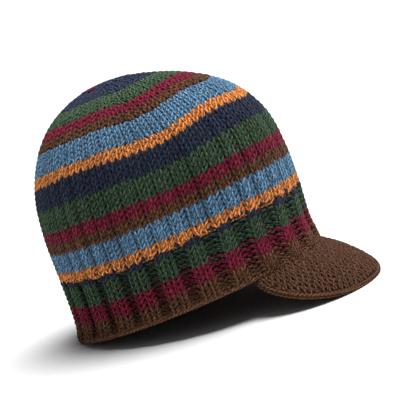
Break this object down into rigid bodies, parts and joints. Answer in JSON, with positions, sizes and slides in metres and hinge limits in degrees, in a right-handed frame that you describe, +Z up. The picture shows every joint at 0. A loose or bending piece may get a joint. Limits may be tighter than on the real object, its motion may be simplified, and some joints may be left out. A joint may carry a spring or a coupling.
{
  "type": "knitted visor beanie",
  "caption": "Striped hand-knitted wool beanie with a domed crown, a ribbed band and a curved pebble-stitch visor at the front; open below for the head.",
  "frame": {"origin": "on the floor, under the middle of the hat's bounding box", "axes": "+Z up, -Y towards the front, where the visor points; +X to the wearer's left"},
  "size_m": [0.166, 0.2378, 0.1781],
  "materials": {
    "band_knit": "matte ribbed wool knit, striped brown, burgundy, green and navy",
    "crown_knit": "matte plain wool knit, striped navy, green, burgundy, brown, blue and orange",
    "visor_knit": "matte pebbled wool knit, brown"
  },
  "bodies": {
    "root": {"ribbed_band": "band_knit", "crown": "crown_knit", "visor": "visor_knit"}
  },
  "joints": []
}
